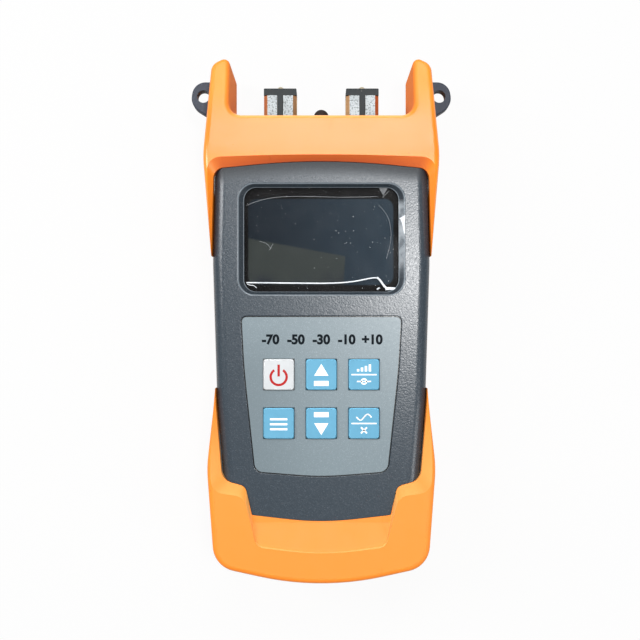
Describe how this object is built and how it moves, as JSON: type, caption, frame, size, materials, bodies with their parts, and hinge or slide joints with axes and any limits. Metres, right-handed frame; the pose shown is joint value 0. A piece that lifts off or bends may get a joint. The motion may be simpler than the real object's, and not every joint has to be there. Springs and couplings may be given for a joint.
{
  "type": "optical power meter",
  "caption": "Handheld optical power meter with an orange rubber boot, LCD window, six-key pad, two fibre ports with dust caps and a battery bay.",
  "frame": {"origin": "centre of the outline, on the surface the meter's back rests on", "axes": "+Z out of the display, +Y towards the fibre ports, +X to the right seen from the front"},
  "size_m": [0.1038, 0.2022, 0.043],
  "materials": {
    "boot_rubber": "soft orange rubber, satin",
    "shell_grey": "dark grey plastic with a fine metallic fleck",
    "lug_grey": "dark blue-grey plastic",
    "window_clear": "smoked clear acrylic",
    "film_clear": "clear protective film",
    "screen_dark": "dark LCD glass in a black frame",
    "panel_silver": "silver-grey metallic print",
    "silicone_black": "black silicone",
    "carbon_black": "conductive carbon",
    "board_green": "green solder mask",
    "screw_steel": "plated steel",
    "socket_black": "black moulding",
    "key_white": "white with a red symbol",
    "key_blue": "light blue with white symbols",
    "adapter_nickel": "bright plated metal",
    "sleeve_ceramic": "white zirconia",
    "detector_steel": "turned steel can",
    "cap_rubber": "black rubber",
    "rivet_brass": "pale brass",
    "cell_wrap": "plain green wrap"
  },
  "bodies": {
    "case": {"battery_cell_left": "cell_wrap", "battery_cell_middle": "cell_wrap", "battery_cell_right": "cell_wrap", "board_screws": "screw_steel", "case_screws": "screw_steel", "charge_socket": "socket_black", "contact_pills": "carbon_black", "detector_left": "detector_steel", "detector_right": "detector_steel", "display_window": "window_clear", "front_shell": "shell_grey", "keypad_membrane": "silicone_black", "keypad_panel": "panel_silver", "lower_contacts": "screw_steel", "main_board": "board_green", "port_adapter_left": "adapter_nickel", "port_adapter_right": "adapter_nickel", "port_plate": "screw_steel", "port_screws": "screw_steel", "port_sleeve_left": "sleeve_ceramic", "port_sleeve_right": "sleeve_ceramic", "protective_boot": "boot_rubber", "rear_shell": "shell_grey", "screen_film": "film_clear", "screen_module": "screen_dark", "strap_lug_left": "lug_grey", "strap_lug_right": "lug_grey", "upper_contacts": "screw_steel"},
    "key_power": {"key_power": "key_white"},
    "key_up": {"key_up": "key_blue"},
    "key_units": {"key_units": "key_blue"},
    "key_mode": {"key_mode": "key_blue"},
    "key_down": {"key_down": "key_blue"},
    "key_wavelength": {"key_wavelength": "key_blue"},
    "dust_cap_left": {"dust_cap_left": "cap_rubber", "cap_rivet_left": "rivet_brass"},
    "dust_cap_right": {"dust_cap_right": "cap_rubber", "cap_rivet_right": "rivet_brass"},
    "charge_bung": {"charge_bung": "cap_rubber"},
    "battery_cover": {"battery_cover": "shell_grey"}
  },
  "joints": [
    {"name": "key_power_press", "type": "slide", "parent": "case", "child": "key_power", "axis": [0, 0, -1], "range_m": [0, 0.0009], "stiffness_N_per_m": 900, "springref_m": -0.0003},
    {"name": "key_up_press", "type": "slide", "parent": "case", "child": "key_up", "axis": [0, 0, -1], "range_m": [0, 0.0009], "stiffness_N_per_m": 900, "springref_m": -0.0003},
    {"name": "key_units_press", "type": "slide", "parent": "case", "child": "key_units", "axis": [0, 0, -1], "range_m": [0, 0.0009], "stiffness_N_per_m": 900, "springref_m": -0.0003},
    {"name": "key_mode_press", "type": "slide", "parent": "case", "child": "key_mode", "axis": [0, 0, -1], "range_m": [0, 0.0009], "stiffness_N_per_m": 900, "springref_m": -0.0003},
    {"name": "key_down_press", "type": "slide", "parent": "case", "child": "key_down", "axis": [0, 0, -1], "range_m": [0, 0.0009], "stiffness_N_per_m": 900, "springref_m": -0.0003},
    {"name": "key_wavelength_press", "type": "slide", "parent": "case", "child": "key_wavelength", "axis": [0, 0, -1], "range_m": [0, 0.0009], "stiffness_N_per_m": 900, "springref_m": -0.0003},
    {"name": "dust_cap_left_pull", "type": "slide", "parent": "case", "child": "dust_cap_left", "axis": [0, 1, 0], "range_m": [0, 0.02]},
    {"name": "dust_cap_right_pull", "type": "slide", "parent": "case", "child": "dust_cap_right", "axis": [0, 1, 0], "range_m": [0, 0.02]},
    {"name": "charge_bung_pull", "type": "slide", "parent": "case", "child": "charge_bung", "axis": [0, 1, 0], "range_m": [0, 0.02]},
    {"name": "battery_cover_hinge", "type": "hinge", "parent": "case", "child": "battery_cover", "pos_m": [0, -0.069, 0.0005], "axis": [-1, 0, 0], "range_deg": [0, 70]}
  ]
}
